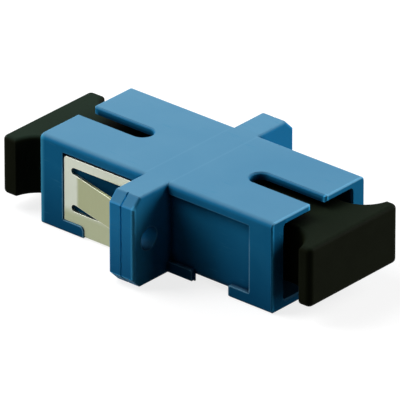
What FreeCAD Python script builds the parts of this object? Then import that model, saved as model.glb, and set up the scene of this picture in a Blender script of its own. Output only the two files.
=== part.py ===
import FreeCAD, Part
import math
import os

# Flanged panel adapter for one square push-pull fibre connector at each end, in millimetres.
# X runs along the optical axis, Y across the flange, Z up. Heights are measured from the
# underside, and the finished pieces are lowered so that the optical axis lies on Z 0.
# Each piece is drawn for the right-hand end, X above 0, and turned half round for the left.
# Across the axis the sizes work outwards from the ferrule, one wall or gap at a time.

# Split alignment sleeve
ferrule_diameter = 2.5
sleeve_wall = 0.35
sleeve_length = 11.4
sleeve_slit = 0.4
sleeve_chamfer = 0.12
sleeve_clearance = 0.05

# Latch insert: base plate, sleeve holder and two hooked arms
holder_wall = 0.45
holder_lip_thickness = 0.65
holder_lip_width = 0.25
holder_funnel = 0.2
holder_tip_chamfer = 0.15
plate_thickness = 1.0
plate_overlap = 0.68
plate_clearance = 0.05
plate_corner_radius = 0.4
arm_thickness = 0.6
arm_height = 3.2
arm_tip_bevel = 0.15
arm_side_gap = 0.27
hook_depth = 0.65
hook_reach = 1.6
hook_crest = 0.3
hook_ramp = 1.1
core_window_width = 1.0

# Dust cap: a flared head on a plug that passes between the hooks and over the sleeve holder
cap_bore_clearance = 0.4
cap_bore_depth = 2.3
cap_side_wall = 0.5
cap_cover_wall = 0.425
cap_seat_gap = 0.1
cap_overhang = 4.17
cap_width = 12.17
cap_corner_radius = 0.55
cap_edge_radius = 0.45
cap_rim = 1.3
left_cap_rim = 1.7
cap_flare_angle = 73.2
cap_flare_tip = 0.44
plug_hook_gap = 0.1
plug_nose_chamfer = 0.4
neck_step = 0.5
neck_tip_gap = 0.6
left_cap_standoff = 0.73
cap_lift = 0.25

# Housing half
half_length = 13.75
side_wall = 1.73
top_wall = 0.75
bottom_wall = 0.75
top_edge_radius = 0.5
bottom_edge_radius = 0.3
end_chamfer = 0.1
port_cap_gap = 0.825
port_corner_radius = 0.3
port_lead_in = 0.2

# Keyway in the top wall
keyway_width = 2.05
keyway_length = 7.75
keyway_mouth_radius = 0.25
keyway_rim_chamfer = 0.18

# Flange half, welded to its twin on X 0
flange_half_thickness = 1.5
ear_chamfer = 1.0
flange_edge_radius = 0.3
seam_chamfer = 0.1
screw_hole_diameter = 2.2
screw_side_gap = 1.45
screw_end_wall = 1.0
peg_radius = 0.6
peg_length = 0.8
peg_rise = 2.5
peg_clearance = 0.05

# Side recess with a notch down to the underside, for the panel clip
recess_bottom = 1.2
recess_cover = 1.02
notch_start = 4.3
notch_width = 4.32
foot_length = 2.43
foot_round_corner = 0.45
foot_square_corner = 0.12
foot_toe_radius = 0.25
foot_backing = 0.15
channel_spread = 1.2
channel_corner_radius = 0.8

# Panel clip, folded from one strip of sheet
sheet_thickness = 0.3
clip_clearance = 0.05
clip_sink = 0.1
strap_sink = 0.05
clip_flange_gap = 0.3
clip_end_gap = 0.1
clip_top_gap = 0.28
clip_corner_radius = 0.35
clip_bend_radius = 0.1
strap_side_gap = 0.08
strap_corner_radius = 0.5
window_bar = 0.95
window_end_rail = 0.85
upper_rail = 0.9
lower_rail = 1.13
slit_width = 0.7
tongue_bend_radius = 0.8
tongue_angle = 15.0
tongue_tip_gap = 0.45

# Worked out from the values above: across the axis
sleeve_radius = ferrule_diameter / 2 + sleeve_wall
holder_bore_radius = sleeve_radius + sleeve_clearance
holder_radius = holder_bore_radius + holder_wall
cap_bore_radius = holder_radius + cap_bore_clearance
plug_half_width = cap_bore_radius + cap_side_wall
neck_half_width = plug_half_width + neck_step
cap_height = 2 * (cap_bore_radius + cap_cover_wall)
hook_face = plug_half_width + plug_hook_gap
arm_inner_face = hook_face + hook_depth
port_width = 2 * (arm_inner_face + arm_thickness + arm_side_gap)
port_height = cap_height + 2 * port_cap_gap
pocket_width = port_width + 2 * plate_overlap
body_width = port_width + 2 * side_wall
body_height = bottom_wall + port_height + top_wall
flange_width = body_width + 2 * (screw_side_gap + screw_hole_diameter + screw_end_wall)
screw_spacing = body_width + 2 * screw_side_gap + screw_hole_diameter

# Heights above the underside
underside = 0.0
port_top = bottom_wall + port_height
axis_height = bottom_wall + port_height / 2
peg_height = axis_height + peg_rise
recess_top = body_height - recess_cover
clip_bottom = recess_bottom + clip_clearance
clip_top = recess_top - clip_top_gap
channel_depth = clip_clearance + sheet_thickness + strap_sink
strap_top = channel_depth - clip_clearance

# Side faces of the recess and the clip
recess_depth = clip_clearance + sheet_thickness + clip_sink
recess_floor = body_width / 2 - recess_depth
clip_inner_face = recess_floor + clip_clearance
clip_outer_face = clip_inner_face + sheet_thickness

# Places along the axis
holder_bore_length = sleeve_length / 2 + sleeve_clearance
holder_length = holder_bore_length + holder_lip_thickness
hook_shoulder = holder_length + hook_reach
hook_tip = hook_shoulder + hook_crest + hook_ramp
neck_start = hook_tip + neck_tip_gap
plug_end = holder_length + cap_seat_gap - cap_bore_depth
cap_face = half_length + cap_overhang
notch_end = notch_start + notch_width
recess_end = notch_end + foot_length
clip_start = flange_half_thickness + clip_flange_gap
clip_end = recess_end - clip_end_gap
strap_start = notch_start + strap_side_gap
strap_end = notch_end - strap_side_gap
slit_end = clip_end - window_end_rail
tongue_tip = clip_start + window_bar + tongue_tip_gap

# Lengths by which a cutting tool runs past the solid that it cuts
past = 1.0

# The two drawing axes of an outline that is square to each axis
drawing_axes = {"X": "YZ", "Y": "XZ", "Z": "XY"}
directions = {"X": FreeCAD.Vector(1, 0, 0), "Y": FreeCAD.Vector(0, 1, 0), "Z": FreeCAD.Vector(0, 0, 1)}


def place(normal, first, second):
    """Point in space of a point drawn square to the given axis."""
    across, up = drawing_axes[normal]
    return directions[across] * first + directions[up] * second


def arc(centre, radius, start, end):
    """Middle and end of an arc about a centre, from start to end in degrees."""
    ends = []
    for angle in ((start + end) / 2, end):
        turn = math.radians(angle)
        ends.append((centre[0] + radius * math.cos(turn), centre[1] + radius * math.sin(turn)))
    return ends


def wire(normal, steps):
    """Closed wire through the steps: a pair of numbers is a corner, a list of two is an arc."""
    edges = []
    here = place(normal, *steps[0])
    for step in steps[1:] + [steps[0]]:
        if isinstance(step, list):
            middle = place(normal, *step[0])
            there = place(normal, *step[1])
            edges.append(Part.Arc(here, middle, there).toShape())
        else:
            there = place(normal, *step)
            if here.distanceToPoint(there) > 1e-6:
                edges.append(Part.LineSegment(here, there).toShape())
        here = there
    return Part.Wire(edges)


def prism(normal, steps, start, end):
    """Solid with the given outline, from start to end along the given axis."""
    outline = wire(normal, steps)
    outline.translate(directions[normal] * start)
    return Part.Face(outline).extrude(directions[normal] * (end - start))


def rectangle(low, high, bottom, top, low_radius=0.0, high_radius=0.0):
    """Outline of a rectangle, with one radius at its two bottom corners and one at its two top ones."""
    steps = [(low + low_radius, bottom), (high - low_radius, bottom)]
    if low_radius > 0:
        steps.append(arc((high - low_radius, bottom + low_radius), low_radius, -90, 0))
    steps.append((high, top - high_radius))
    if high_radius > 0:
        steps.append(arc((high - high_radius, top - high_radius), high_radius, 0, 90))
    steps.append((low + high_radius, top))
    if high_radius > 0:
        steps.append(arc((low + high_radius, top - high_radius), high_radius, 90, 180))
    steps.append((low, bottom + low_radius))
    if low_radius > 0:
        steps.append(arc((low + low_radius, bottom + low_radius), low_radius, 180, 270))
    return steps


def block(width, bottom, top, start, end, radius=0.0):
    """Bar along X, centred across Y."""
    return prism("X", rectangle(-width / 2, width / 2, bottom, top, radius, radius), start, end)


def rod(radius, start, end, across=0.0, height=axis_height):
    """Round bar along X."""
    return Part.makeCylinder(radius, end - start, FreeCAD.Vector(start, across, height), directions["X"])


def edges_on(solid, axis, position):
    """Edges that lie in the plane square to an axis at a position."""
    found = []
    for edge in solid.Edges:
        box = edge.BoundBox
        low = getattr(box, axis + "Min")
        high = getattr(box, axis + "Max")
        if abs(low - position) < 1e-3 and abs(high - position) < 1e-3:
            found.append(edge)
    return found


def both_sides(solid):
    """The solid with its mirror image across the XZ plane."""
    return [solid, solid.mirror(FreeCAD.Vector(0, 0, 0), directions["Y"])]


def turned(solid):
    """The right-hand piece turned half round, as its left-hand twin."""
    twin = solid.copy()
    twin.rotate(FreeCAD.Vector(0, 0, 0), directions["Z"], 180)
    return twin


def flange_half():
    """Plate with cornered ears. A groove marks the weld round the ears, and it is flush between them."""
    half = flange_width / 2
    corner = ear_chamfer
    steps = [
        (-half + corner, underside), (half - corner, underside),
        (half, underside + corner), (half, body_height - corner),
        (half - corner, body_height), (-half + corner, body_height),
        (-half, body_height - corner), (-half, underside + corner),
    ]
    plate = prism("X", steps, 0, flange_half_thickness)
    plate = plate.makeFillet(flange_edge_radius, edges_on(plate, "X", flange_half_thickness))
    seam = [edge for edge in edges_on(plate, "X", 0) if edge.BoundBox.YLength < 2 * corner]
    return plate.makeChamfer(seam_chamfer, seam)


def body_half():
    half = body_width / 2
    section = rectangle(-half, half, underside, body_height, bottom_edge_radius, top_edge_radius)
    bar = prism("X", section, flange_half_thickness / 2, half_length)
    return bar.makeChamfer(end_chamfer, edges_on(bar, "X", half_length))


def port_cavity():
    """Square port with a lead-in at its mouth, and the wider pocket that the insert's plate sits in."""
    port = block(port_width, bottom_wall, port_top, 0, half_length + past, port_corner_radius)
    pocket = block(pocket_width, bottom_wall, port_top, -past, plate_thickness, port_corner_radius)
    sections = []
    for grow, position in ((0.0, half_length - port_lead_in), (port_lead_in, half_length)):
        half = port_width / 2 + grow
        radius = port_corner_radius + grow
        steps = rectangle(-half, half, bottom_wall - grow, port_top + grow, radius, radius)
        section = wire("X", steps)
        section.translate(directions["X"] * position)
        sections.append(section)
    lead_in = Part.makeLoft(sections, True, True)
    return port.fuse([pocket, lead_in])


def keyway():
    """Slot through the top wall, with a round inner end."""
    half = keyway_width / 2
    round_end = half_length - keyway_length + half
    steps = [
        (round_end, -half), (half_length + past, -half), (half_length + past, half), (round_end, half),
        arc((round_end, 0), half, 90, 270),
    ]
    return prism("Z", steps, axis_height, body_height + past)


def keyway_mouth():
    """The widening of the slot between the two rounded corners of its mouth."""
    half = keyway_width / 2
    corner = keyway_mouth_radius
    steps = [
        (half_length - corner, -half),
        arc((half_length - corner, -half - corner), corner, 90, 0),
        (half_length + past, -half - corner),
        (half_length + past, half + corner),
        (half_length, half + corner),
        arc((half_length - corner, half + corner), corner, 0, -90),
    ]
    return prism("Z", steps, axis_height, body_height + past)


def slotted_bar():
    """Housing bar with its keyway, whose rim is bevelled."""
    bar = body_half().cut(keyway())
    rim = []
    for edge in edges_on(bar, "Z", body_height):
        box = edge.BoundBox
        if max(-box.YMin, box.YMax) < keyway_width and box.XMax - box.XMin > end_chamfer:
            rim.append(edge)
    return bar.makeChamfer(keyway_rim_chamfer, rim).cut(keyway_mouth())


def side_recess(corner):
    """Shallow recess in the side wall, with a notch between its feet down to the underside."""
    toe = foot_toe_radius
    steps = [
        (flange_half_thickness, recess_bottom),
        (notch_start - corner, recess_bottom),
        arc((notch_start - corner, recess_bottom - corner), corner, 90, 0),
        (notch_start, underside + toe),
        arc((notch_start - toe, underside + toe), toe, 0, -90),
        (notch_start - toe, underside - past),
        (notch_end + toe, underside - past),
        (notch_end + toe, underside),
        arc((notch_end + toe, underside + toe), toe, -90, -180),
        (notch_end, recess_bottom - corner),
        arc((notch_end + corner, recess_bottom - corner), corner, 180, 90),
        (recess_end, recess_bottom),
        (recess_end, recess_top),
        (flange_half_thickness, recess_top),
    ]
    return prism("Y", steps, recess_floor, body_width / 2 + past)


def strap_channel():
    """Channel across the underside for the clip's strap to wrap round. It runs on behind the feet."""
    height = recess_bottom + channel_corner_radius
    start = notch_start - channel_spread
    end = notch_end + channel_spread
    around = block(body_width + past, underside - past, height, notch_start, notch_end)
    behind = block(2 * (recess_floor - foot_backing), underside - past, recess_bottom, start, end)
    section = rectangle(-recess_floor, recess_floor, channel_depth, body_height, channel_corner_radius, 0)
    return around.fuse(behind).cut(prism("X", section, start, end))


def locating_peg(side):
    across = side * screw_spacing / 2
    return rod(peg_radius, -peg_length, flange_half_thickness / 2, across, peg_height)


def locating_socket(side):
    across = side * screw_spacing / 2
    depth = peg_length + peg_clearance
    return rod(peg_radius + peg_clearance, -past, depth, across, peg_height)


def housing_half():
    solid = slotted_bar().fuse(flange_half())
    screw_hole = rod(screw_hole_diameter / 2, -past, flange_half_thickness + past, screw_spacing / 2)
    tools = [port_cavity(), strap_channel(), locating_socket(-1)]
    tools += [side_recess(foot_round_corner), both_sides(side_recess(foot_square_corner))[1]]
    tools += both_sides(screw_hole)
    return solid.cut(tools).fuse(locating_peg(1)).removeSplitter()


def hooked_arm():
    """Latch arm in plan: a straight leg, a square shoulder facing the plate and a ramp at the tip."""
    outer = arm_inner_face + arm_thickness
    steps = [
        (plate_thickness / 2, arm_inner_face),
        (hook_shoulder, arm_inner_face),
        (hook_shoulder, hook_face),
        (hook_shoulder + hook_crest, hook_face),
        (hook_tip, arm_inner_face),
        (hook_tip, outer - arm_tip_bevel),
        (hook_tip - arm_tip_bevel, outer),
        (plate_thickness / 2, outer),
    ]
    low = axis_height - arm_height / 2
    return prism("Z", steps, low, low + arm_height)


def core_window():
    """Opening in the plate behind each hook, through which the hook's shoulder is moulded."""
    low = axis_height - arm_height / 2
    steps = rectangle(arm_inner_face - core_window_width, arm_inner_face, low, low + arm_height)
    return prism("X", steps, -past, plate_thickness + past)


def holder_mouth():
    """Funnel through the lip that keeps the sleeve in and leads the ferrule to it."""
    narrow = holder_bore_radius - holder_lip_width
    length = holder_lip_thickness + past
    wide = narrow + holder_funnel * length / holder_lip_thickness
    lip = FreeCAD.Vector(holder_bore_length, 0, axis_height)
    return Part.makeCone(narrow, wide, length, lip, directions["X"])


def latch_insert():
    width = pocket_width - 2 * plate_clearance
    low = bottom_wall + plate_clearance
    high = port_top - plate_clearance
    plate = block(width, low, high, 0, plate_thickness, plate_corner_radius)
    holder = rod(holder_radius, 0, holder_length)
    holder = holder.makeChamfer(holder_tip_chamfer, edges_on(holder, "X", holder_length))
    sleeve_seat = rod(holder_bore_radius, -past, holder_bore_length)
    solid = plate.cut(both_sides(core_window())).fuse([holder] + both_sides(hooked_arm()))
    return solid.cut([sleeve_seat, holder_mouth()]).removeSplitter()


def alignment_sleeve():
    half = sleeve_length / 2
    tube = rod(sleeve_radius, -half, half)
    ends = edges_on(tube, "X", -half) + edges_on(tube, "X", half)
    tube = tube.makeChamfer(sleeve_chamfer, ends)
    slit = block(sleeve_slit, axis_height, body_height, -half - past, half + past)
    return tube.cut([rod(ferrule_diameter / 2, -half - past, half + past), slit])


def clip_blank():
    """The two side plates and the strap between them, seen from the side."""
    corner = clip_corner_radius
    root = strap_corner_radius
    return [
        (clip_start, clip_bottom),
        (strap_start - root, clip_bottom),
        arc((strap_start - root, clip_bottom - root), root, 90, 0),
        (strap_start, underside - past),
        (strap_end, underside - past),
        (strap_end, clip_bottom - root),
        arc((strap_end + root, clip_bottom - root), root, 180, 90),
        (clip_end, clip_bottom),
        (clip_end, clip_top - corner),
        arc((clip_end - corner, clip_top - corner), corner, 0, 90),
        (clip_start, clip_top),
    ]


def clip_window():
    """Punched window round the tongue, as two slits with round ends joined past the tongue's tip."""
    half = slit_width / 2
    near = clip_start + window_bar
    root = slit_end - half
    lower = clip_bottom + lower_rail
    upper = clip_top - upper_rail
    return [
        (near, lower),
        (root, lower),
        arc((root, lower + half), half, -90, 90),
        (root, upper - slit_width),
        arc((root, upper - half), half, -90, 90),
        (near, upper),
    ]


def clip_tongue():
    """Sprung tongue in plan, bent outwards about a small radius and straight to its tip."""
    root = slit_end - slit_width / 2
    inside = tongue_bend_radius
    outside = tongue_bend_radius + sheet_thickness
    centre = (root, clip_outer_face + inside)
    bent = -90 - tongue_angle
    lean = math.radians(tongue_angle)
    straight = (root - inside * math.sin(lean) - tongue_tip) / math.cos(lean)
    inner_bend = arc(centre, inside, -90, bent)
    outer_bend = arc(centre, outside, bent, -90)
    tip = (inner_bend[1][0] - straight * math.cos(lean), inner_bend[1][1] + straight * math.sin(lean))
    back = (tip[0] - sheet_thickness * math.sin(lean), tip[1] - sheet_thickness * math.cos(lean))
    bend_back = arc(centre, outside, -90, bent)[1]
    steps = [(root, clip_outer_face), inner_bend, tip, back, bend_back, outer_bend]
    low = clip_bottom + lower_rail + slit_width
    high = clip_top - upper_rail - slit_width
    return prism("Z", steps, low, high)


def panel_clip():
    """Strip folded into a U round three sides of the left half."""
    outer_bend = clip_bend_radius + sheet_thickness
    outer = rectangle(-clip_outer_face, clip_outer_face, strap_top - sheet_thickness, clip_top, outer_bend)
    inner = rectangle(-clip_inner_face, clip_inner_face, strap_top, clip_top + past, clip_bend_radius)
    folded = prism("X", outer, clip_start, clip_end).cut(prism("X", inner, clip_start, clip_end))
    folded = folded.common(prism("Y", clip_blank(), -body_width, body_width))
    folded = folded.cut(prism("Y", clip_window(), -body_width, body_width))
    return turned(folded.fuse(both_sides(clip_tongue())).removeSplitter())


def cap_plan(rim):
    """Plug, wider neck, concave flare and rounded head, drawn for one side and mirrored for the other."""
    head = cap_width / 2
    corner = cap_corner_radius
    lean = math.radians(cap_flare_angle)
    flare_top = head - cap_flare_tip * math.sin(lean)
    radius = (flare_top - neck_half_width) / (1 - math.cos(lean))
    centre = neck_half_width + radius
    rim_start = cap_face - rim
    flare_end = rim_start - cap_flare_tip * math.cos(lean)
    flare_start = flare_end - radius * math.sin(lean)
    return [
        (plug_end, -plug_half_width + plug_nose_chamfer),
        (plug_end + plug_nose_chamfer, -plug_half_width),
        (neck_start, -plug_half_width),
        (neck_start + neck_step, -neck_half_width),
        (flare_start, -neck_half_width),
        arc((flare_start, -centre), radius, 90, 90 - cap_flare_angle),
        (rim_start, -head),
        (cap_face - corner, -head),
        arc((cap_face - corner, -head + corner), corner, -90, 0),
        (cap_face, head - corner),
        arc((cap_face - corner, head - corner), corner, 0, 90),
        (rim_start, head),
        (flare_end, flare_top),
        arc((flare_start, centre), radius, -90 + cap_flare_angle, -90),
        (neck_start + neck_step, neck_half_width),
        (neck_start, plug_half_width),
        (plug_end + plug_nose_chamfer, plug_half_width),
        (plug_end, plug_half_width - plug_nose_chamfer),
    ]


def dust_cap(rim):
    low = axis_height - cap_height / 2
    high = low + cap_height
    solid = prism("Z", cap_plan(rim), low, high)
    solid = solid.makeFillet(cap_edge_radius, edges_on(solid, "Z", low) + edges_on(solid, "Z", high))
    bore = rod(cap_bore_radius, plug_end - past, plug_end + cap_bore_depth)
    return solid.cut(bore)


def pieces():
    housing = housing_half()
    insert = latch_insert()
    right_cap = dust_cap(cap_rim)
    right_cap.translate(directions["Z"] * cap_lift)
    left_cap = turned(dust_cap(left_cap_rim))
    left_cap.translate(directions["X"] * -left_cap_standoff - directions["Z"] * cap_lift)
    return {
        "body_half_left": turned(housing),
        "body_half_right": housing,
        "latch_insert_left": turned(insert),
        "latch_insert_right": insert,
        "alignment_sleeve": alignment_sleeve(),
        "panel_clip": panel_clip(),
        "dust_cap_left": left_cap,
        "dust_cap_right": right_cap,
    }


os.makedirs("parts", exist_ok=True)
for name, shape in pieces().items():
    shape.translate(directions["Z"] * -axis_height)
    shape.exportStep("parts/" + name + ".step")
    box = shape.BoundBox
    print(name, len(shape.Solids), shape.isValid(), round(shape.Volume, 2),
          [round(value, 2) for value in (box.XMin, box.XMax, box.YMin, box.YMax, box.ZMin, box.ZMax)])
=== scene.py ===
import bpy
import math
from mathutils import Matrix, Vector

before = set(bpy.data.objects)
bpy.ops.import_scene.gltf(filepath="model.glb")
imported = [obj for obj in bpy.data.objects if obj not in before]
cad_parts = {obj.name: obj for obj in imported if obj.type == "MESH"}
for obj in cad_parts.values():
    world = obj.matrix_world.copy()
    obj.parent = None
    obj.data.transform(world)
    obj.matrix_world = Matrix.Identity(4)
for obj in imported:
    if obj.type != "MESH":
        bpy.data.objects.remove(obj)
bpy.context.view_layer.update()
print("packed adapter loaded")

mm = 0.001
noiseSpan = (0.3, 0.7)  # where most values of a noise lie
coverSamples = 12  # rays of each ambient occlusion node
bevelSamples = 6


# Shared node helpers

def newMaterial(name):
    material = bpy.data.materials.new(name)
    material.use_nodes = True
    material.node_tree.nodes.clear()
    return material, material.node_tree.nodes, material.node_tree.links


def setInputs(node, values):
    for key, value in values.items():
        node.inputs[key].default_value = value
    return node


def mathNode(nodes, links, operation, first, second, third=None):
    node = nodes.new("ShaderNodeMath")
    node.operation = operation
    for index, value in enumerate((first, second, third)):
        if value is None:
            continue
        if isinstance(value, (int, float)):
            node.inputs[index].default_value = value
        else:
            links.new(value, node.inputs[index])
    return node.outputs[0]


def rangeNode(nodes, links, value, fromLow, fromHigh, toLow, toHigh, smooth=False):
    node = nodes.new("ShaderNodeMapRange")
    node.interpolation_type = "SMOOTHSTEP" if smooth else "LINEAR"
    setInputs(node, {"From Min": fromLow, "From Max": fromHigh, "To Min": toLow, "To Max": toHigh})
    links.new(value, node.inputs["Value"])
    return node.outputs["Result"]


def bothMasks(nodes, links, first, second):
    return mathNode(nodes, links, "MULTIPLY", first, second)


def blendColours(nodes, links, factor, first, second, mode="MIX"):
    node = nodes.new("ShaderNodeMix")
    node.data_type = "RGBA"
    node.blend_type = mode
    if isinstance(factor, (int, float)):
        node.inputs[0].default_value = factor
    else:
        links.new(factor, node.inputs[0])
    for socket, value in ((node.inputs[6], first), (node.inputs[7], second)):
        if isinstance(value, (tuple, list)):
            socket.default_value = (*value, 1.0) if len(value) == 3 else value
        else:
            links.new(value, socket)
    return node.outputs[2]


def noise(nodes, links, vector, scale, detail=2.0, roughness=0.5, distortion=0.0):
    node = nodes.new("ShaderNodeTexNoise")
    setInputs(node, {"Scale": scale, "Detail": detail, "Roughness": roughness, "Distortion": distortion})
    links.new(vector, node.inputs["Vector"])
    return node.outputs["Fac"]


# Node groups that several finishes share

def newGroup(name, inputs, outputs):
    group = bpy.data.node_groups.new(name, "ShaderNodeTree")
    for label, kind, value in inputs:
        socket = group.interface.new_socket(name=label, in_out="INPUT", socket_type=kind)
        socket.default_value = value
    for label, kind in outputs:
        group.interface.new_socket(name=label, in_out="OUTPUT", socket_type=kind)
    start = group.nodes.new("NodeGroupInput")
    end = group.nodes.new("NodeGroupOutput")
    return group, group.nodes, group.links, start, end


def makeEdgeGroup():  # how near a point is to an outer edge, broken up by noise; it places a painted highlight along the edges
    group, nodes, links, start, end = newGroup(
        "edgeHighlight",
        [("Radius", "NodeSocketFloat", 0.0002), ("Threshold", "NodeSocketFloat", 0.12),
         ("Reach", "NodeSocketFloat", 0.3), ("Breakup", "NodeSocketFloat", 0.3),
         ("Breakup Scale", "NodeSocketFloat", 900.0)],
        [("Mask", "NodeSocketFloat")])
    shell = nodes.new("ShaderNodeAmbientOcclusion")
    shell.inside = True  # looks into the piece, so that only outer edges count
    shell.only_local = True
    shell.samples = coverSamples
    links.new(start.outputs["Radius"], shell.inputs["Distance"])
    hidden = mathNode(nodes, links, "SUBTRACT", 1.0, shell.outputs["AO"])
    above = mathNode(nodes, links, "SUBTRACT", hidden, start.outputs["Threshold"])
    near = mathNode(nodes, links, "DIVIDE", above, start.outputs["Reach"])
    place = nodes.new("ShaderNodeTexCoord")
    speckle = nodes.new("ShaderNodeTexNoise")
    setInputs(speckle, {"Detail": 3.0, "Roughness": 0.6})
    links.new(place.outputs["Object"], speckle.inputs["Vector"])
    links.new(start.outputs["Breakup Scale"], speckle.inputs["Scale"])
    gaps = rangeNode(nodes, links, speckle.outputs["Fac"], *noiseSpan, 0.0, 1.0)
    lost = bothMasks(nodes, links, gaps, start.outputs["Breakup"])
    kept = mathNode(nodes, links, "SUBTRACT", 1.0, lost)
    mask = bothMasks(nodes, links, near, kept)
    limited = nodes.new("ShaderNodeClamp")
    links.new(mask, limited.inputs["Value"])
    links.new(limited.outputs["Result"], end.inputs["Mask"])
    return group


scuffSettings = {
    "turn": (0.2, 0.4, 0.7), "stretch": (1.0, 14.0, 14.0), "strokeScale": 420.0, "strokeSpan": (0.62, 0.72),
    "patchScale": 330.0, "patchSpan": (0.5, 0.64),
}


def makeMouldGroup():  # spark-eroded mould skin: fine pits, soft flow clouds and a few fine scuffs
    cfg = scuffSettings
    group, nodes, links, start, end = newGroup(
        "mouldSkin",
        [("Pit Scale", "NodeSocketFloat", 9000.0), ("Cloud Scale", "NodeSocketFloat", 260.0),
         ("Scuffs", "NodeSocketFloat", 0.5)],
        [("Pits", "NodeSocketFloat"), ("Clouds", "NodeSocketFloat"), ("Scuff Mask", "NodeSocketFloat")])
    place = nodes.new("ShaderNodeTexCoord").outputs["Object"]
    pits = nodes.new("ShaderNodeTexNoise")
    setInputs(pits, {"Detail": 3.0, "Roughness": 0.7})
    links.new(place, pits.inputs["Vector"])
    links.new(start.outputs["Pit Scale"], pits.inputs["Scale"])
    clouds = nodes.new("ShaderNodeTexNoise")
    setInputs(clouds, {"Detail": 4.0, "Roughness": 0.55, "Distortion": 0.6})
    links.new(place, clouds.inputs["Vector"])
    links.new(start.outputs["Cloud Scale"], clouds.inputs["Scale"])
    stretched = nodes.new("ShaderNodeMapping")
    setInputs(stretched, {"Rotation": cfg["turn"], "Scale": cfg["stretch"]})
    links.new(place, stretched.inputs["Vector"])
    strokes = noise(nodes, links, stretched.outputs["Vector"], cfg["strokeScale"], 2.0, 0.4)
    patches = noise(nodes, links, place, cfg["patchScale"], 1.0, 0.5)
    fine = rangeNode(nodes, links, strokes, *cfg["strokeSpan"], 0.0, 1.0, True)
    where = rangeNode(nodes, links, patches, *cfg["patchSpan"], 0.0, 1.0, True)
    scuff = bothMasks(nodes, links, fine, where)
    scuff = bothMasks(nodes, links, scuff, start.outputs["Scuffs"])
    links.new(pits.outputs["Fac"], end.inputs["Pits"])
    links.new(clouds.outputs["Fac"], end.inputs["Clouds"])
    links.new(scuff, end.inputs["Scuff Mask"])
    return group


def makeHollowGroup(name, ownOnly):  # how deep a point lies in a slot, slit or inner corner, for painted shade there
    group, nodes, links, start, end = newGroup(
        name,
        [("Radius", "NodeSocketFloat", 0.001), ("Threshold", "NodeSocketFloat", 0.35),
         ("Reach", "NodeSocketFloat", 0.5)],
        [("Mask", "NodeSocketFloat")])
    cover = nodes.new("ShaderNodeAmbientOcclusion")
    cover.samples = coverSamples
    cover.only_local = ownOnly
    links.new(start.outputs["Radius"], cover.inputs["Distance"])
    hidden = mathNode(nodes, links, "SUBTRACT", 1.0, cover.outputs["AO"])
    above = mathNode(nodes, links, "SUBTRACT", hidden, start.outputs["Threshold"])
    hollowShade = mathNode(nodes, links, "DIVIDE", above, start.outputs["Reach"])
    limited = nodes.new("ShaderNodeClamp")
    links.new(hollowShade, limited.inputs["Value"])
    links.new(limited.outputs["Result"], end.inputs["Mask"])
    return group


def makeSheenGroup():  # painted sheen: a lighter colour on faces that look up, softer over the rounded edges
    group, nodes, links, start, end = newGroup(
        "topSheen",
        [("Round Radius", "NodeSocketFloat", 0.0003), ("Low", "NodeSocketFloat", 0.45),
         ("High", "NodeSocketFloat", 1.0), ("Patch Scale", "NodeSocketFloat", 120.0),
         ("Patch Least", "NodeSocketFloat", 0.85)],
        [("Mask", "NodeSocketFloat")])
    rounded = nodes.new("ShaderNodeBevel")
    rounded.samples = bevelSamples
    links.new(start.outputs["Round Radius"], rounded.inputs["Radius"])
    parts = nodes.new("ShaderNodeSeparateXYZ")
    links.new(rounded.outputs["Normal"], parts.inputs["Vector"])
    facing = nodes.new("ShaderNodeMapRange")
    facing.interpolation_type = "SMOOTHSTEP"
    links.new(parts.outputs["Z"], facing.inputs["Value"])
    links.new(start.outputs["Low"], facing.inputs["From Min"])
    links.new(start.outputs["High"], facing.inputs["From Max"])
    place = nodes.new("ShaderNodeTexCoord").outputs["Object"]
    patches = nodes.new("ShaderNodeTexNoise")
    setInputs(patches, {"Detail": 3.0, "Roughness": 0.5, "Distortion": 0.4})
    links.new(place, patches.inputs["Vector"])
    links.new(start.outputs["Patch Scale"], patches.inputs["Scale"])
    uneven = nodes.new("ShaderNodeMapRange")
    setInputs(uneven, {"From Min": noiseSpan[0], "From Max": noiseSpan[1], "To Max": 1.0})
    links.new(patches.outputs["Fac"], uneven.inputs["Value"])
    links.new(start.outputs["Patch Least"], uneven.inputs["To Min"])
    mask = bothMasks(nodes, links, facing.outputs["Result"], uneven.outputs["Result"])
    links.new(mask, end.inputs["Mask"])
    return group


edgeGroup = makeEdgeGroup()
mouldGroup = makeMouldGroup()
sheenGroup = makeSheenGroup()
hollowGroup = makeHollowGroup("hollowDepth", False)
ownHollowGroup = makeHollowGroup("ownHollowDepth", True)
print("node groups built")


def placeGroup(nodes, group, values):
    node = nodes.new("ShaderNodeGroup")
    node.node_tree = group
    return setInputs(node, values)


def softEdges(nodes, links, height, radius, strength, distance, keep=None):  # a bump laid over rounded edges
    rounded = nodes.new("ShaderNodeBevel")
    rounded.samples = bevelSamples
    if keep is None:
        rounded.inputs["Radius"].default_value = radius
    else:
        links.new(bothMasks(nodes, links, keep, radius), rounded.inputs["Radius"])
    bump = nodes.new("ShaderNodeBump")
    setInputs(bump, {"Strength": strength, "Distance": distance})
    links.new(height, bump.inputs["Height"])
    links.new(rounded.outputs["Normal"], bump.inputs["Normal"])
    return bump.outputs["Normal"]


def finish(material, settings, colour, rough=None, normal=None, glow=None):
    nodes, links = material.node_tree.nodes, material.node_tree.links
    shader = nodes.new("ShaderNodeBsdfPrincipled")
    setInputs(shader, settings)
    for label, value in (("Base Color", colour), ("Roughness", rough), ("Normal", normal), ("Emission Color", glow)):
        if value is not None:
            links.new(value, shader.inputs[label])
    output = nodes.new("ShaderNodeOutputMaterial")
    links.new(shader.outputs["BSDF"], output.inputs["Surface"])
    return material


# Moulded plastics. Each tone of the housing is painted light or shade, a colour laid where all its places hold. A
# place is a coordinate, where it starts and where it is full in millimetres, and soft for an S-shaped step.

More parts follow.
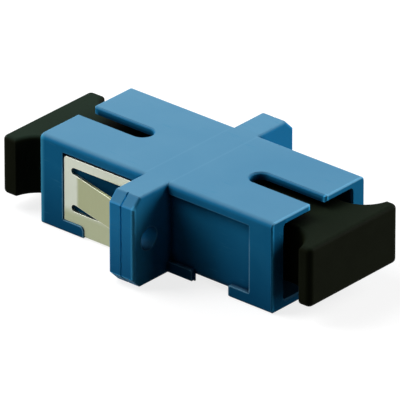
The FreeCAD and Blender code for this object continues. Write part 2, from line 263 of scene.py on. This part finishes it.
cornerLightColour = (0.04, 0.45, 0.85)  # painted light that lifts the narrow faces that no lamp reaches
# In each finish below, the edge colour is a painted highlight, the colour for upward faces is a painted sheen and the
# hollow colour is painted shade.
plasticSettings = {
    "blueHousing": {
        "colour": (0.009, 0.152, 0.325), "cloudColour": (0.012, 0.164, 0.342), "edgeHighlightColour": (0.26, 0.58, 0.8),
        "weldHalf": 0.1 * mm, "weldClear": 0.4 * mm, "flangeFace": 1.5 * mm, "holeCentre": 8.9 * mm,
        "sheenColour": (0.12, 0.295, 0.445), "sheenAmount": 0.98, "sheenRound": 0.3 * mm,
        "sheenFrom": 9 * mm, "sheenTo": -8 * mm, "sheenLeast": 0.82,
        # painted light and shade under the sheen: ear ends, ear faces, rims and undersides, end corners, keyway
        # mouths, seam walls, left end corner and far ear painted lighter; lower half and near end face in painted
        # shade, darker
        "paintedLightUnderSheen": {
            "earFront": {"colour": (0.022, 0.235, 0.5), "where": [("across", 10.8, 10.9)]},
            "lowerHalf": {"colour": (0.42, 0.5, 0.55), "mode": "MULTIPLY", "where": [("Z", 1.8, -4.4)]},
            "endFaceNear": {"colour": (0.003, 0.085, 0.19), "amount": 0.7,
                            "where": [("X", 13.7, 13.74), ("Y", -4.4, -4.6)]},
            "endFaceEdge": {"colour": (0.03, 0.35, 0.7), "where": [("X", 13.7, 13.74), ("Y", -5.95, -6.3)]},
            "earSide": {"colour": (0.045, 0.38, 0.66),
                        "where": [("X", 1.3, 1.45), ("Y", -8.2, -10.9), ("Z", 4.5, 0.5)]},
            "earRim": {"colour": (0.07, 0.48, 0.85), "where": [("X", 1.12, 1.3), ("across", 10.6, 10.75)]},
            "underEar": {"colour": (0.05, 0.42, 0.8), "where": [("slant", 14.42, 14.46)]},
            "rightCorners": {"colour": cornerLightColour, "where": [("X", 13.64, 13.66), ("across", 6.22, 6.26)]},
            "keywayMouth": {"colour": cornerLightColour,
                            "where": [("X", 13.4, 13.5), ("across", 1.4, 1.3), ("Z", 3.0, 3.2)]},
            "earSeam": {"colour": cornerLightColour,
                        "where": [("X", -0.12, -0.1), ("X", 0.0, -0.004), ("across", 10.1, 10.3)]},
            "leftCorner": {"colour": (0.06, 0.38, 0.62), "amount": 0.8,
                           "where": [("X", -13.15, -13.65, "soft"), ("Y", -5.9, -6.1)]},
            "farEar": {"colour": (0.016, 0.205, 0.43), "where": [("Y", 6.4, 6.6)]},
        },
        # painted light and shade over the sheen: a painted highlight along the top end edge and painted shade on the
        # recess floor behind the clip
        "paintedLightOverSheen": {
            "topEndEdge": {"colour": (0.2, 0.56, 0.86), "amount": 0.8,
                           "where": [("along", 13.55, 13.7, "soft"), ("Z", 4.25, 4.4, "soft")]},
            "behindClip": {"colour": (0.001, 0.03, 0.07), "amount": 0.9,
                           "where": [("across", 5.965, 5.945, "soft"), ("across", 5.885, 5.905),
                                     ("X", -11.12, -11.08), ("X", -1.5, -1.6, "soft"), ("Z", 3.5, 3.4, "soft")]},
        },
        "flangeLines": {"colour": (0.16, 0.36, 0.52), "amount": 0.22, "where": [("fromFlange", 0.16, 0.0, "soft")]},
        # painted shade over the edge highlight: dark inside the screw hole, the port and the keyways
        "paintedShadeOverEdges": {
            "screwHole": {"colour": (0.0, 0.08, 0.19), "amount": 0.85, "where": [("fromHole", 1.22, 1.06, "soft")]},
            "port": {"colour": (0.002, 0.04, 0.09), "amount": 0.85,
                     "where": [("across", 4.655, 4.635), ("along", 13.65, 13.6), ("upDown", 3.785, 3.765)]},
            "keyway": {"colour": (0.0, 0.02, 0.05), "amount": 0.9,
                       "where": [("across", 1.4, 1.3), ("along", 13.4, 13.2), ("Z", 4.4, 3.9), ("Z", 3.6, 3.7)]},
        },
        "edgeLow": 1.2 * mm, "edgeHigh": 2.6 * mm, "edgeLeast": 0.25,
        "seamHalf": 0.3 * mm, "seamLeft": 0.1,
        "hollowShadeColour": (0.0, 0.008, 0.03), "hollowRadius": 1.1 * mm, "hollowStart": 0.1, "hollowAmount": 0.92,
        "ownHollows": True,
        "scuffColour": (0.05, 0.25, 0.42), "pitScale": 9000.0, "cloudScale": 260.0, "scuffs": 0.35,
        "maskRadius": 0.24 * mm, "maskStart": 0.2, "maskReach": 0.25, "edgeAmount": 0.7, "breakup": 0.3,
        "roundRadius": 0.04 * mm, "roughness": (0.4, 0.5), "pitDepth": 0.010 * mm, "pitStrength": 0.2,
        "surface": {"IOR": 1.5, "Specular IOR Level": 0.01},
    },
    "blackCap": {
        "colour": (0.0046, 0.0058, 0.0024), "cloudColour": (0.0057, 0.0072, 0.0032),
        "edgeHighlightColour": (0.013, 0.014, 0.010),
        "sheenColour": (0.0150, 0.0265, 0.0180), "sheenAmount": 0.95,
        "sheenFrom": 12 * mm, "sheenTo": -10 * mm, "sheenLeast": 0.28,
        "hollowShadeColour": (0.0007, 0.0008, 0.0005), "hollowRadius": 2.2 * mm, "hollowStart": 0.12,
        "hollowAmount": 0.85, "ownHollows": False,
        "scuffColour": (0.010, 0.0105, 0.008), "pitScale": 6500.0, "cloudScale": 340.0, "scuffs": 0.5,
        "maskRadius": 0.3 * mm, "maskStart": 0.12, "maskReach": 0.4, "edgeAmount": 0.3, "breakup": 0.4,
        "roundRadius": 0.16 * mm, "roughness": (0.5, 0.62), "pitDepth": 0.014 * mm, "pitStrength": 0.3,
        "surface": {"IOR": 1.45, "Specular IOR Level": 0.015},
    },
    "ivoryInsert": {
        "colour": (0.66, 0.63, 0.53), "cloudColour": (0.72, 0.69, 0.6), "edgeHighlightColour": (0.8, 0.78, 0.7),
        "sheenColour": (0.7, 0.68, 0.6), "sheenAmount": 0.3,
        "hollowShadeColour": (0.3, 0.28, 0.22), "hollowRadius": 0.6 * mm, "hollowStart": 0.3, "hollowAmount": 0.3,
        "ownHollows": False,
        "scuffColour": (0.6, 0.57, 0.5), "pitScale": 8000.0, "cloudScale": 400.0, "scuffs": 0.3,
        "maskRadius": 0.1 * mm, "maskStart": 0.12, "maskReach": 0.3, "edgeAmount": 0.4, "breakup": 0.3,
        "roundRadius": 0.05 * mm, "roughness": (0.38, 0.5), "pitDepth": 0.008 * mm, "pitStrength": 0.2,
        "surface": {"IOR": 1.5, "Specular IOR Level": 0.4},
    },
}
plasticShared = {"cloudSpan": (0.35, 0.65), "breakupScale": 1100.0, "hollowReach": 0.45, "scuffRoughness": 0.12}


def partPlaces(nodes, links):  # coordinates in the part, with the two ends and the two sides folded together
    axes = nodes.new("ShaderNodeSeparateXYZ")
    links.new(nodes.new("ShaderNodeTexCoord").outputs["Object"], axes.inputs["Vector"])
    places = {name: axes.outputs[name] for name in "XYZ"}
    for name, axis in (("along", "X"), ("across", "Y"), ("upDown", "Z")):
        places[name] = mathNode(nodes, links, "ABSOLUTE", places[axis], None)
    return places


def addHousingPlaces(nodes, links, cfg, places):
    places["slant"] = mathNode(nodes, links, "SUBTRACT", places["across"], places["Z"])
    offset = mathNode(nodes, links, "SUBTRACT", places["along"], cfg["flangeFace"])
    places["fromFlange"] = mathNode(nodes, links, "ABSOLUTE", offset, None)
    offset = mathNode(nodes, links, "SUBTRACT", places["across"], cfg["holeCentre"])
    square = bothMasks(nodes, links, offset, offset)
    square = mathNode(nodes, links, "MULTIPLY_ADD", places["Z"], places["Z"], square)
    places["fromHole"] = mathNode(nodes, links, "SQRT", square, None)


def toneMask(nodes, links, tone, places):
    mask = tone.get("amount", 1.0)
    for name, start, full, *soft in tone["where"]:
        step = rangeNode(nodes, links, places[name], start * mm, full * mm, 0.0, 1.0, bool(soft))
        mask = bothMasks(nodes, links, step, mask)
    return mask


def layPaintedLight(nodes, links, colour, tones, places):
    for tone in tones.values():
        mask = toneMask(nodes, links, tone, places)
        colour = blendColours(nodes, links, mask, colour, tone["colour"], tone.get("mode", "MIX"))
    return colour


def mouldedPlastic(name):
    cfg = plasticSettings[name]
    shared = plasticShared
    isHousing = "flangeFace" in cfg
    material, nodes, links = newMaterial(name)
    skin = placeGroup(nodes, mouldGroup, {"Pit Scale": cfg["pitScale"], "Cloud Scale": cfg["cloudScale"],
                                          "Scuffs": cfg["scuffs"]})
    edges = placeGroup(nodes, edgeGroup, {"Radius": cfg["maskRadius"], "Threshold": cfg["maskStart"],
                                          "Reach": cfg["maskReach"], "Breakup": cfg["breakup"],
                                          "Breakup Scale": shared["breakupScale"]})
    sheen = placeGroup(nodes, sheenGroup, {})
    hollow = placeGroup(nodes, ownHollowGroup if cfg["ownHollows"] else hollowGroup,
                        {"Radius": cfg["hollowRadius"], "Threshold": cfg["hollowStart"],
                         "Reach": shared["hollowReach"]})
    places = partPlaces(nodes, links)

    cloudy = rangeNode(nodes, links, skin.outputs["Clouds"], *shared["cloudSpan"], 0.0, 1.0, True)
    colour = blendColours(nodes, links, cloudy, cfg["colour"], cfg["cloudColour"])
    sheenMask = bothMasks(nodes, links, sheen.outputs["Mask"], cfg["sheenAmount"])
    edgeLit = bothMasks(nodes, links, edges.outputs["Mask"], cfg["edgeAmount"])
    hollowShade = bothMasks(nodes, links, hollow.outputs["Mask"], cfg["hollowAmount"])
    offWeld = None
    if isHousing:
        addHousingPlaces(nodes, links, cfg, places)
        colour = layPaintedLight(nodes, links, colour, cfg["paintedLightUnderSheen"], places)
        # nothing is rounded off and no painted edge highlight is laid where the two halves are welded, and their seam
        # is shallow, so the painted shade there stays light
        offWeld = rangeNode(nodes, links, places["along"], 0.0, cfg["weldClear"], 0.0, 1.0)
        links.new(bothMasks(nodes, links, offWeld, cfg["sheenRound"]), sheen.inputs["Round Radius"])
        clear = rangeNode(nodes, links, places["along"], cfg["weldHalf"], cfg["weldClear"], 0.0, 1.0, True)
        edgeLit = bothMasks(nodes, links, edgeLit, clear)
        # the painted edge highlight drops to a quarter higher up on the housing
        high = rangeNode(nodes, links, places["Z"], cfg["edgeLow"], cfg["edgeHigh"], 1.0, cfg["edgeLeast"], True)
        edgeLit = bothMasks(nodes, links, edgeLit, high)
        seam = rangeNode(nodes, links, places["along"], 0.5 * cfg["seamHalf"], cfg["seamHalf"],
                         cfg["seamLeft"], 1.0, True)
        hollowShade = bothMasks(nodes, links, hollowShade, seam)
    if "sheenFrom" in cfg:  # a little less painted sheen towards the right end, so the left half reads lighter
        fade = rangeNode(nodes, links, places["X"], cfg["sheenFrom"], cfg["sheenTo"], cfg["sheenLeast"], 1.0, True)
        sheenMask = bothMasks(nodes, links, sheenMask, fade)

    # painted sheen: upward faces lighter, as where the lamps fall on the top
    colour = blendColours(nodes, links, sheenMask, colour, cfg["sheenColour"])
    colour = blendColours(nodes, links, skin.outputs["Scuff Mask"], colour, cfg["scuffColour"])
    if isHousing:
        line = toneMask(nodes, links, cfg["flangeLines"], places)  # faint lines on top where the flange begins
        line = bothMasks(nodes, links, line, sheen.outputs["Mask"])
        colour = blendColours(nodes, links, line, colour, cfg["flangeLines"]["colour"])
        colour = layPaintedLight(nodes, links, colour, cfg["paintedLightOverSheen"], places)
    # painted highlight along the outer edges
    colour = blendColours(nodes, links, edgeLit, colour, cfg["edgeHighlightColour"])
    if isHousing:
        colour = layPaintedLight(nodes, links, colour, cfg["paintedShadeOverEdges"], places)
    # painted shade in slots, slits and inner corners
    colour = blendColours(nodes, links, hollowShade, colour, cfg["hollowShadeColour"])

    rough = rangeNode(nodes, links, skin.outputs["Pits"], *noiseSpan, *cfg["roughness"])
    rough = mathNode(nodes, links, "MULTIPLY_ADD", skin.outputs["Scuff Mask"], shared["scuffRoughness"], rough)
    normal = softEdges(nodes, links, skin.outputs["Pits"], cfg["roundRadius"], cfg["pitStrength"], cfg["pitDepth"],
                       offWeld)
    return finish(material, cfg["surface"], colour, rough, normal)


# Rolled spring steel of the panel clip

steelSettings = {
    # the cut edge colour is a painted highlight; the tongue and lower colours are painted reflection, darker and
    # greener
    "colour": (0.55, 0.58, 0.49), "darkColour": (0.48, 0.51, 0.42), "cutEdgeHighlight": (1.0, 1.0, 0.9),
    "tongueReflection": (0.31, 0.33, 0.19), "sheetFace": 6.27 * mm, "tongueOut": 6.42 * mm,
    "lowerReflection": (0.35, 0.375, 0.245), "lowerStart": -1.6 * mm, "lowerEnd": -2.6 * mm,
    "roughness": (0.3, 0.4), "smudgeRoughness": 0.07, "grainScale": 150.0, "grainStretch": 40.0, "grainShare": 0.35,
    "smudgeScale": 300.0, "smudgeSpan": (0.4, 0.68), "smudgeShare": 0.45,
    "edgeRadius": 0.04 * mm, "maskRadius": 0.1 * mm, "maskReach": 0.3, "edgeAmount": 0.45,
    "breakup": 0.2, "breakupScale": 1500.0, "grainDepth": 0.004 * mm, "grainStrength": 0.3,
}


def rolledSteel():
    cfg = steelSettings
    material, nodes, links = newMaterial("rolledSteel")
    place = nodes.new("ShaderNodeTexCoord").outputs["Object"]
    along = nodes.new("ShaderNodeMapping")
    along.inputs["Scale"].default_value = (cfg["grainStretch"], 1.0, 1.0)  # rolled round the strip, across the axis
    links.new(place, along.inputs["Vector"])
    grain = noise(nodes, links, along.outputs["Vector"], cfg["grainScale"], 4.0, 0.65)
    smudge = noise(nodes, links, place, cfg["smudgeScale"], 3.0, 0.55, 0.4)
    smudged = rangeNode(nodes, links, smudge, *cfg["smudgeSpan"], 0.0, 1.0, True)
    fine = rangeNode(nodes, links, grain, *noiseSpan, 0.0, 1.0)
    dull = bothMasks(nodes, links, smudged, cfg["smudgeShare"])
    mixed = mathNode(nodes, links, "MULTIPLY_ADD", fine, cfg["grainShare"], dull)
    colour = blendColours(nodes, links, mixed, cfg["colour"], cfg["darkColour"])
    places = partPlaces(nodes, links)
    # painted reflection: the lower plate and the bent-out tongue darker and greener
    low = rangeNode(nodes, links, places["Z"], cfg["lowerEnd"], cfg["lowerStart"], 1.0, 0.0, True)
    colour = blendColours(nodes, links, low, colour, cfg["lowerReflection"])
    tongue = rangeNode(nodes, links, places["across"], cfg["sheetFace"], cfg["tongueOut"], 0.0, 1.0, True)
    colour = blendColours(nodes, links, tongue, colour, cfg["tongueReflection"])
    # painted highlight along the cut edges of the sheet
    edges = placeGroup(nodes, edgeGroup, {"Radius": cfg["maskRadius"], "Reach": cfg["maskReach"],
                                          "Breakup": cfg["breakup"], "Breakup Scale": cfg["breakupScale"]})
    edgeLit = bothMasks(nodes, links, edges.outputs["Mask"], cfg["edgeAmount"])
    colour = blendColours(nodes, links, edgeLit, colour, cfg["cutEdgeHighlight"])
    rough = rangeNode(nodes, links, grain, *noiseSpan, *cfg["roughness"])
    rough = mathNode(nodes, links, "MULTIPLY_ADD", smudged, cfg["smudgeRoughness"], rough)
    normal = softEdges(nodes, links, grain, cfg["edgeRadius"], cfg["grainStrength"], cfg["grainDepth"])
    return finish(material, {"Metallic": 1.0}, colour, rough, normal)


# Ground ceramic of the alignment sleeve

ceramicSettings = {
    "colour": (0.78, 0.77, 0.72), "bandColour": (0.7, 0.69, 0.64), "edgeHighlightColour": (0.85, 0.85, 0.82),
    "roughness": (0.18, 0.3), "ringScale": 5200.0, "ringSquash": 0.04, "bandScale": 500.0,
    "edgeRadius": 0.04 * mm, "maskReach": 0.3, "breakup": 0.1, "breakupScale": 1500.0,
    "ringDepth": 0.002 * mm, "ringStrength": 0.2, "surface": {"IOR": 2.1, "Specular IOR Level": 0.5},
}


def groundCeramic():
    cfg = ceramicSettings
    material, nodes, links = newMaterial("groundCeramic")
    place = nodes.new("ShaderNodeTexCoord").outputs["Object"]
    ringed = nodes.new("ShaderNodeMapping")
    squash = cfg["ringSquash"]
    ringed.inputs["Scale"].default_value = (1.0, squash, squash)  # fine grinding rings round the axis
    links.new(place, ringed.inputs["Vector"])
    rings = noise(nodes, links, ringed.outputs["Vector"], cfg["ringScale"], 2.0, 0.5)
    bands = noise(nodes, links, place, cfg["bandScale"], 2.0, 0.5)
    colour = blendColours(nodes, links, bands, cfg["colour"], cfg["bandColour"])
    edges = placeGroup(nodes, edgeGroup, {"Radius": cfg["edgeRadius"], "Reach": cfg["maskReach"],
                                          "Breakup": cfg["breakup"], "Breakup Scale": cfg["breakupScale"]})
    # painted highlight along the outer edges
    colour = blendColours(nodes, links, edges.outputs["Mask"], colour, cfg["edgeHighlightColour"])
    rough = rangeNode(nodes, links, rings, *noiseSpan, *cfg["roughness"])
    normal = softEdges(nodes, links, rings, cfg["edgeRadius"], cfg["ringStrength"], cfg["ringDepth"])
    return finish(material, cfg["surface"], colour, rough, normal)


finishes = {
    "blueHousing": mouldedPlastic("blueHousing"),
    "blackCap": mouldedPlastic("blackCap"),
    "ivoryInsert": mouldedPlastic("ivoryInsert"),
    "rolledSteel": rolledSteel(),
    "groundCeramic": groundCeramic(),
}
pieceFinish = {
    "body_half_left": "blueHousing", "body_half_right": "blueHousing",
    "latch_insert_left": "ivoryInsert", "latch_insert_right": "ivoryInsert",
    "alignment_sleeve": "groundCeramic", "panel_clip": "rolledSteel",
    "dust_cap_left": "blackCap", "dust_cap_right": "blackCap",
}


def dress(node, material):
    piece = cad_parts[node]
    if piece.material_slots:
        for slot in piece.material_slots:
            slot.material = material
    else:
        piece.data.materials.append(material)


for node, finishName in pieceFinish.items():
    dress(node, finishes[finishName])
print("pieces dressed")


# Floor, background and lights

floorSettings = {
    "size": 6.0, "height": -4.52 * mm,  # a hair below the part, so that the two faces don't share a plane
    "seen": (0.28, 0.28, 0.28), "glow": (0.8, 0.8, 0.8), "bounced": (0.06, 0.06, 0.06),
    "surface": {"Roughness": 0.9, "Specular IOR Level": 0.0, "Emission Strength": 1.0},
}


def seenRays(nodes, links):  # 1 for what the camera sees, also in a reflection or through glass
    path = nodes.new("ShaderNodeLightPath")
    seen = mathNode(nodes, links, "MAXIMUM", path.outputs["Is Camera Ray"], path.outputs["Is Glossy Ray"])
    return mathNode(nodes, links, "MAXIMUM", seen, path.outputs["Is Transmission Ray"])


def makeFloor():
    cfg = floorSettings
    bpy.ops.mesh.primitive_plane_add(size=cfg["size"], location=(0, 0, cfg["height"]))
    floor = bpy.context.object
    floor.name = "paleFloor"
    material, nodes, links = newMaterial("paleFloor")
    shown = seenRays(nodes, links)
    colour = blendColours(nodes, links, shown, cfg["bounced"], cfg["seen"])
    glow = blendColours(nodes, links, shown, (0.0, 0.0, 0.0), cfg["glow"])
    floor.data.materials.append(finish(material, cfg["surface"], colour, glow=glow))


worldSettings = {"strength": 1.0, "seen": (1.0, 1.0, 1.0), "ambient": (0.05, 0.05, 0.05)}


def makeWorld():
    cfg = worldSettings
    world = bpy.data.worlds.new("studio")
    bpy.context.scene.world = world
    world.use_nodes = True
    nodes, links = world.node_tree.nodes, world.node_tree.links
    nodes.clear()
    colour = blendColours(nodes, links, seenRays(nodes, links), cfg["ambient"], cfg["seen"])
    background = nodes.new("ShaderNodeBackground")
    background.inputs["Strength"].default_value = cfg["strength"]
    links.new(colour, background.inputs["Color"])
    output = nodes.new("ShaderNodeOutputWorld")
    links.new(background.outputs["Background"], output.inputs["Surface"])


lampSettings = {
    "keyBackRight": {"place": (0.26, 0.47, 0.17), "size": 0.42, "power": 4.3},
    "topLeft": {"place": (-0.31, -0.13, 0.40), "size": 0.35, "power": 2.7},
    "frontLeft": {"place": (-0.46, -0.28, 0.08), "size": 0.32, "power": 1.35},
}


def makeLamp(name):
    cfg = lampSettings[name]
    data = bpy.data.lights.new(name, "AREA")
    data.shape = "SQUARE"
    data.size = cfg["size"]
    data.energy = cfg["power"]
    lamp = bpy.data.objects.new(name, data)
    lamp.location = cfg["place"]
    lamp.rotation_euler = (-Vector(cfg["place"])).to_track_quat("-Z", "Y").to_euler()
    bpy.context.scene.collection.objects.link(lamp)


makeFloor()
makeWorld()
for lampName in lampSettings:
    makeLamp(lampName)
print("stage and lights set")


# Camera at the photograph's angle

cameraSettings = {
    "azimuth": 40.89, "elevation": 26.89, "roll": -0.01, "distance": 919.96 * mm,
    "lens": 921.5, "sensor": 36.0, "nearest": 10 * mm,
    "shiftRight": -0.143 * mm, "shiftUp": -0.159 * mm, "aimHeight": 0.1 * mm,
}


def makeCamera():
    cfg = cameraSettings
    turn = math.radians(cfg["azimuth"])
    tilt = math.radians(cfg["elevation"])
    roll = math.radians(cfg["roll"])
    back = Vector((math.sin(turn) * math.cos(tilt), -math.cos(turn) * math.cos(tilt), math.sin(tilt)))
    right = Vector((math.cos(turn), math.sin(turn), 0.0))
    up = back.cross(right)
    rolledRight = math.cos(roll) * right + math.sin(roll) * up
    rolledUp = math.cos(roll) * up - math.sin(roll) * right
    data = bpy.data.cameras.new("photoCamera")
    data.lens = cfg["lens"]
    data.sensor_width = cfg["sensor"]
    data.sensor_fit = "HORIZONTAL"
    data.clip_start = cfg["nearest"]
    camera = bpy.data.objects.new("photoCamera", data)
    place = Vector((0.0, 0.0, cfg["aimHeight"])) + cfg["distance"] * back
    place += cfg["shiftRight"] * rolledRight + cfg["shiftUp"] * rolledUp
    camera.matrix_world = Matrix((
        (rolledRight.x, rolledUp.x, back.x, place.x),
        (rolledRight.y, rolledUp.y, back.y, place.y),
        (rolledRight.z, rolledUp.z, back.z, place.z),
        (0.0, 0.0, 0.0, 1.0),
    ))
    bpy.context.scene.collection.objects.link(camera)
    bpy.context.scene.camera = camera


makeCamera()
bpy.context.scene.view_settings.view_transform = "Standard"
print("camera set")
